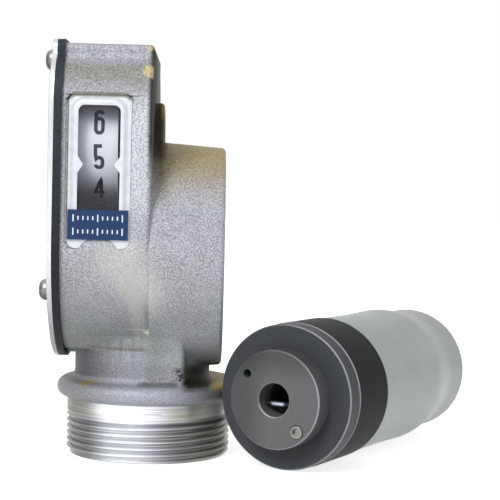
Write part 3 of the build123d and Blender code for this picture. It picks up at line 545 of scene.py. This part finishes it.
# The label: a thin plate stuck across the foot of the window.
# It is printed blue, with two plain rows of white scale marks on its face.
print_blue = Finish("label print", roughness=0.45, Specular_IOR_Level=0.25)
label_low, label_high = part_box("number_label")
speck = print_blue.noise(0.6, 2.0)
colour = print_blue.mix(speck.ramp(0.3, 0.7), (0.010, 0.034, 0.108, 1), (0.013, 0.041, 0.125, 1))
label_blue = print_blue.use(colour, speck.ramp(0.3, 0.7, 0.5, 0.38), bump=speck, depth=0.01)
paint("number_label", label_blue)

white_ink = Finish("white ink", roughness=0.5)
chalk = white_ink.noise(0.5, 2.0)
white_print = white_ink.use(white_ink.mix(chalk, (0.82, 0.85, 0.9, 1), (0.7, 0.74, 0.8, 1)))
tick_count = 11
long_every = 5
tick_step = 0.00165
tick_wide = 0.00042
tick_tall = 0.0024
short_share = 0.55
tick_thick = 0.00008
tick_lift = 0.00002
row_inset = 0.0028
ticks = []
label_middle = (label_low.x + label_high.x) / 2
for row in (label_high.z - row_inset, label_low.z + row_inset):
    for index in range(tick_count):
        tall = tick_tall if index % long_every == 0 else tick_tall * short_share
        x = label_middle + (index - tick_count // 2) * tick_step
        place = (x, label_low.y - tick_lift, row)
        bpy.ops.mesh.primitive_cube_add(size=1, location=place, scale=(tick_wide, tick_thick, tall))
        bpy.ops.object.transform_apply(location=True, rotation=True, scale=True)
        ticks.append(bpy.context.object)
bpy.ops.object.select_all(action="DESELECT")
for tick in ticks:
    tick.select_set(True)
bpy.context.view_layer.objects.active = ticks[0]
bpy.ops.object.join()
label_scale = ticks[0]
label_scale.name = "label_scale"
label_scale.data.materials.append(white_print)
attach(label_scale, "head")


# The number drum: turned, painted white, and printed in black with fifteen plain numbers.
# It is fixed on its shaft behind the pane, and the number at the pointers is the level.
white = Finish("drum white", roughness=0.35)
soft = white.noise(5.0, 2.0)
colour = white.mix(soft.ramp(0.3, 0.7), (0.78, 0.82, 0.9, 1), (0.74, 0.77, 0.85, 1))
paint("number_drum", white.use(colour, soft.ramp(0.3, 0.7, 0.4, 0.3)))

drum_radius = 0.0284
drum_centre = Vector((-0.0172, -0.0075, 0.1125))
# A figure reaches this far to each side of its middle, and this far above and below it.
wide = 0.00120
tall = 0.00372
ink_width = 0.00124
ink_lift = 0.00003
ink_step = 0.0006
number_count = 15
number_step = 24
window_number = 6
window_angle = 11.2
figure_step = 0.0046


def bend(x, z, radius, start, end, count=10):
    """Points along an arc of a figure's stroke, in degrees."""
    angles = [radians(start + (end - start) * i / count) for i in range(count + 1)]
    return [(x + radius * cos(a), z + radius * sin(a)) for a in angles]


upper = tall - wide
lower = wide - tall
strokes = {
    "0": bend(0, upper, wide, 0, 180) + bend(0, lower, wide, 180, 360) + [(wide, upper)],
    "1": [(-wide * 0.75, tall - 0.0013), (0.0001, tall), (0.0001, -tall)],
    "2": bend(0, upper, wide, 165, 0) + [(wide, upper - 0.0006), (-wide, -tall), (wide + 0.0003, -tall)],
    "3": (
        bend(0, upper, wide, 165, -90)
        + bend(0, -0.0002, wide, 90, 90, 1)
        + bend(0, lower, wide, 70, -165)
    ),
    "4": [
        (wide * 0.55, -tall - 0.0005),
        (wide * 0.55, tall),
        (-wide - 0.0002, -tall * 0.42),
        (wide + 0.0005, -tall * 0.42),
    ],
    "5": (
        [(wide - 0.0002, tall), (-wide, tall), (-wide, 0.0006)]
        + bend(0, lower + 0.0011, wide, 140, 0)
        + bend(0, lower, wide, 0, -170)
    ),
    "6": bend(0, upper, wide, 15, 180) + bend(0, lower, wide, 180, 360) + bend(0, 0.0, wide, 0, 180),
    "7": [(-wide - 0.0003, tall), (wide, tall), (-wide * 0.35, -tall - 0.0005)],
    "8": (
        bend(0, upper, wide, -60, 240, 16)
        + bend(0, lower, wide, 120, 420, 20)
        + bend(0, upper, wide, -60, -55, 1)
    ),
    "9": bend(0, lower, wide, 195, 360) + bend(0, upper, wide, 0, 180) + bend(0, 0.0, wide, 180, 360),
}


def inked(points, shift):
    """A flat stroke of even width along a line of points."""
    dense = []
    for (x0, z0), (x1, z1) in zip(points, points[1:]):
        span = max(1, round(((x1 - x0) ** 2 + (z1 - z0) ** 2) ** 0.5 / ink_step))
        dense += [(x0 + (x1 - x0) * i / span, z0 + (z1 - z0) * i / span) for i in range(span)]
    dense.append(points[-1])
    left, right = [], []
    for index, (x, z) in enumerate(dense):
        before = Vector(dense[max(0, index - 1)])
        after = Vector(dense[min(len(dense) - 1, index + 1)])
        here = Vector((x, z))
        into = (here - before).normalized() if index else (after - here).normalized()
        out = (after - here).normalized() if index < len(dense) - 1 else into
        along = (into + out).normalized() if (into + out).length > 1e-6 else into
        across = Vector((-along.y, along.x))
        reach = ink_width / 2 / max(0.5, across.dot(Vector((-into.y, into.x))))
        left.append(here + across * reach + Vector((shift, 0)))
        right.append(here - across * reach + Vector((shift, 0)))
    return left, right


print_radius = drum_radius + ink_lift
print_vertices = []
print_faces = []
for value in range(number_count):
    middle_angle = radians(window_angle + number_step * (value - window_number))
    figures = str(value)
    for place, figure in enumerate(figures):
        shift = (place - (len(figures) - 1) / 2) * figure_step
        left, right = inked(strokes[figure], shift)
        first = len(print_vertices)
        for point in left + right:
            angle = middle_angle + point.y / drum_radius
            y = drum_centre.y - print_radius * cos(angle)
            z = drum_centre.z + print_radius * sin(angle)
            print_vertices.append((drum_centre.x + point.x, y, z))
        count = len(left)
        for start in range(first, first + count - 1):
            print_faces.append((start, start + count, start + count + 1, start + 1))
figures_mesh = bpy.data.meshes.new("drum_numbers")
figures_mesh.from_pydata(print_vertices, [], print_faces)
numbers = bpy.data.objects.new("drum_numbers", figures_mesh)
bpy.context.collection.objects.link(numbers)
ink = Finish("black ink", roughness=0.5)
faded = ink.noise(0.8, 2.0)
black = ink.mix(faded, (0.02, 0.023, 0.028, 1), (0.034, 0.037, 0.043, 1))
figures_mesh.materials.append(ink.use(black))
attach(numbers, "drum")


# The movement inside: brass gears, bronze bushes, a sheet reel of steel tape and a blued spring.
# The gears and the reel turn on shafts and a stud; plate and spring cup are screwed in the chamber.
def worked_metal(name, pieces, size, light, dark, rough, metallic=1.0, detail=2.0, stretch=(1, 1, 1)):
    """Gives these pieces a metal in two close tones, with fine marks of how it was worked."""
    metal = Finish(name, metallic=metallic)
    worked = metal.noise(size, detail, stretch)
    tone = metal.mix(worked.ramp(0.3, 0.7), light + (1,), dark + (1,))
    material = metal.use(tone, worked.ramp(0.3, 0.7, *rough), bump=worked, depth=0.02)
    for piece in pieces:
        paint(piece, material)


gears = ("drum_wheel", "cluster_gear", "main_pinion")
yellow = (0.72, 0.54, 0.25)
dark_yellow = (0.58, 0.42, 0.18)
worked_metal("gear brass", gears, 0.6, yellow, dark_yellow, (0.28, 0.42), detail=3.0)

bushes = ("drum_bush", "main_bush_front", "main_bush_rear")
worked_metal("bush bronze", bushes, 0.4, (0.5, 0.34, 0.18), (0.38, 0.25, 0.13), (0.4, 0.55))

sheets = ("frame_plate", "tape_reel", "spring_case", "spring_case_cover")
sheet_light = (0.7, 0.71, 0.72)
sheet_dark = (0.6, 0.61, 0.62)
rolled = (1.0, 10.0, 1.0)
worked_metal("sheet aluminium", sheets, 0.4, sheet_light, sheet_dark, (0.32, 0.45), 0.95, stretch=rolled)

for name in (
    "drum_shaft",
    "drum_collar",
    "frame_screws",
    "cluster_stud",
    "main_shaft",
    "spring_arbor",
    "spring_case_screws",
):
    paint(name, stainless)

springs = ("power_spring", "wound_tape", "cluster_clip")
worked_metal("blued steel", springs, 0.3, (0.2, 0.22, 0.27), (0.3, 0.31, 0.34), (0.25, 0.4))


# The float: a body moulded in grey plastic, lying on the floor beside the head.
# Its collar, end disc and hub are turned and anodised; a screw and the tape's cross pin sit in the hub.
# The float's axis is given by a place on it, in millimetres, and its angle in degrees.
float_axis = (48.0, -35.5, 25.4, 30.5)


def along_float(finish):
    """The station along the float's axis and the distance from it, in millimetres."""
    x, y, z, yaw = float_axis
    east = finish.x - x
    north = finish.y - y
    height = finish.z - z
    station = east * sin(radians(yaw)) + north * cos(radians(yaw))
    side = east * cos(radians(yaw)) - north * sin(radians(yaw))
    return station, (side * side + height * height).square_root()


def anodised(name, colour, metallic, rough, edges, fall=0.0, gloss=0.12):
    """A grey anodised skin with faint marks of turning, with painted highlights along these turned edges.
    """
    finish = Finish(name, metallic=metallic, Specular_IOR_Level=gloss)
    turning = finish.noise(0.5, 2.0)
    lighter = tuple(channel * 1.2 for channel in colour) + (1,)
    tone = finish.mix(turning.ramp(0.3, 0.7), colour + (1,), lighter)
    station, radius = along_float(finish)
    # Painted highlights along the turned edges; the rims' fade towards the left, the bore's lies low on
    # its left.
    for edge_station, edge_radius, strength in edges:
        edge_highlight = (station - edge_station).absolute().ramp(0.25, 0.6, 1.0, 0.0)
        edge_highlight = edge_highlight * (radius - edge_radius).absolute().ramp(0.25, 0.6, 1.0, 0.0)
        if edge_radius > 10.0:
            edge_highlight = edge_highlight * finish.x.ramp(38.0, 60.0, 0.3, 1.0)
        else:
            edge_highlight = edge_highlight * finish.z.ramp(20.0, 26.0, 1.0, 0.1) * finish.x.ramp(41.0, 46.0, 1.0, 0.15)
        tone = finish.mix(edge_highlight * strength, tone, (0.5, 0.52, 0.55, 1))
    # Painted shade, darker towards the left and the top by the share given as fall; none when fall is 0.
    darker = finish.x.ramp(33.0, 44.0, 1.0 - fall, 1.0)
    darker = darker * finish.z.ramp(30.0, 41.0, 1.0, 1.0 - fall)
    tone = finish.scale(tone, darker)
    satin = turning.ramp(0.3, 0.7, rough, rough - 0.08)
    return finish.use(tone, satin, bump=turning, depth=0.015)


cap_grey = (0.044, 0.048, 0.0515)
cap_highlights = [(0.0, 25.1, 0.6), (6.8, 25.1, 0.3)]
paint("float_end_cap", anodised("end cap anodised", cap_grey, 0.15, 0.5, cap_highlights))
hub_grey = (0.112, 0.118, 0.119)
hub_highlights = [(-8.0, 17.0, 0.6), (-8.0, 5.8, 0.9)]
paint("float_hub", anodised("hub anodised", hub_grey, 0.2, 0.48, hub_highlights, fall=0.38))
collar_grey = (0.013, 0.014, 0.0145)
collar_highlights = [(6.8, 25.4, 0.75)]
paint("float_collar", anodised("collar anodised", collar_grey, 0.0, 0.5, collar_highlights, gloss=0.04))

screw_grey = (0.2, 0.19, 0.175)
screw_bright = (0.32, 0.31, 0.29)
hub_screws = ("float_hub_screw",)
worked_metal("float screw steel", hub_screws, 0.4, screw_grey, screw_bright, (0.3, 0.45), metallic=0.8)

pin = Finish("tape pin steel", metallic=0.9)
# A painted glint across the pin's middle; the rest of the pin is dark.
pin_glint = (pin.x - 45.4).absolute().ramp(1.4, 2.4, 1.0, 0.0)
colour = pin.mix(pin_glint, (0.03, 0.03, 0.035, 1), (0.55, 0.6, 0.7, 1))
paint("float_tape_pin", pin.use(colour, pin_glint.ramp(0.0, 1.0, 0.6, 0.25)))

moulded = Finish("moulded plastic", roughness=0.4)
skin = moulded.noise(1.2, 3.0)
milk = moulded.noise(30.0, 2.0, seed=6.0)
colour = moulded.mix(milk.ramp(0.35, 0.65), (0.34, 0.37, 0.375, 1), (0.39, 0.42, 0.425, 1))
station, _ = along_float(moulded)
colour = moulded.mix(station.ramp(84.0, 104.0) * 0.35, colour, (0.31, 0.325, 0.3, 1))
# Painted shade on the body's upward faces.
colour = moulded.scale(colour, moulded.facing("Z").ramp(0.3, 1.0, 1.0, 0.8))
body_plastic = moulded.use(colour, skin.ramp(0.3, 0.7, 0.36, 0.28), bump=skin, depth=0.02)
paint("float_body", body_plastic)
paint("float_o_ring", gasket_rubber)


# The floor, the light and the camera: a pale sheet that keeps the shadows under the object, one large
# soft lamp from the left and above, a pale sky that is brighter towards the horizon, and a camera that
# looks at the object as the photograph does.
def direct_view(nodes, strength):
    """This strength where a camera, a mirror or a clear pane sees a surface, otherwise 0."""
    seen = nodes.node("ShaderNodeLightPath", {}, {}, "Is Camera Ray")
    for ray in ("Is Glossy Ray", "Is Transmission Ray"):
        seen = seen.at_least(nodes.node("ShaderNodeLightPath", {}, {}, ray))
    return seen * strength


floor_size = 8
floor_drop = 0.0001
bpy.ops.mesh.primitive_plane_add(size=floor_size, location=(0, 0, -floor_drop))
floor = bpy.context.object
floor.name = "floor"
paper = Finish("floor paper", roughness=0.9, Base_Color=(0.8, 0.8, 0.8, 1))
glow = paper.node("ShaderNodeEmission", {}, {"Strength": direct_view(paper, 0.78)})
lit = Field(paper, paper.shader.outputs[0])
both = paper.node("ShaderNodeAddShader", {}, {0: lit, 1: glow})
paper.tree.links.new(both.socket, paper.tree.nodes["Material Output"].inputs["Surface"])
floor.data.materials.append(paper.material)

world = bpy.data.worlds.new("studio")
bpy.context.scene.world = world
world.use_nodes = True
sky = Nodes(world.node_tree)
sky.tree.nodes.clear()
direction = sky.node("ShaderNodeTexCoord", {}, {}, "Generated")
height = sky.node("ShaderNodeSeparateXYZ", {}, {0: direction}, "Z")
horizon_to_top = {"Value": height, "From Min": 0.05, "From Max": 0.8, "To Min": 0.8, "To Max": 0.35}
strength = sky.node("ShaderNodeMapRange", {}, horizon_to_top)
surround = sky.node("ShaderNodeBackground", {}, {"Color": (0.96, 0.98, 1.0, 1), "Strength": strength})
backdrop = sky.node("ShaderNodeBackground", {}, {"Color": (1, 1, 1, 1), "Strength": 1.0})
blend = sky.node("ShaderNodeMixShader", {}, {0: direct_view(sky, 1.0), 1: surround, 2: backdrop})
world_output = sky.tree.nodes.new("ShaderNodeOutputWorld")
sky.tree.links.new(blend.socket, world_output.inputs["Surface"])

key_light = bpy.data.lights.new("key", "AREA")
key_light.shape = "SQUARE"
key_light.size = 0.6
key_light.energy = 24.0
key_light.color = (1.0, 0.99, 0.97)
key = bpy.data.objects.new("key", key_light)
key.location = (-0.7, -1.3, 1.2)
lit_place = Vector((0.02, 0, 0.08))
key.rotation_euler = (lit_place - key.location).to_track_quat("-Z", "Y").to_euler()
bpy.context.collection.objects.link(key)

camera_data = bpy.data.cameras.new("camera")
camera_data.lens = 104.83
camera_data.sensor_width = 36
camera = bpy.data.objects.new("camera", camera_data)
bpy.context.collection.objects.link(camera)
bpy.context.scene.camera = camera
camera_place = (0.0202, -0.5318, 0.0963)
turn = 0.0295
down = 0.0414
roll = 0.0235
ahead = Vector((sin(turn) * cos(down), cos(turn) * cos(down), -sin(down)))
level = Vector((cos(turn), -sin(turn), 0))
level_up = level.cross(ahead)
right = level * cos(roll) + level_up * sin(roll)
up = level_up * cos(roll) - level * sin(roll)
facing = Matrix((right, up, -ahead)).transposed().to_4x4()
camera.matrix_world = Matrix.Translation(camera_place) @ facing

bpy.context.scene.view_settings.view_transform = "Standard"
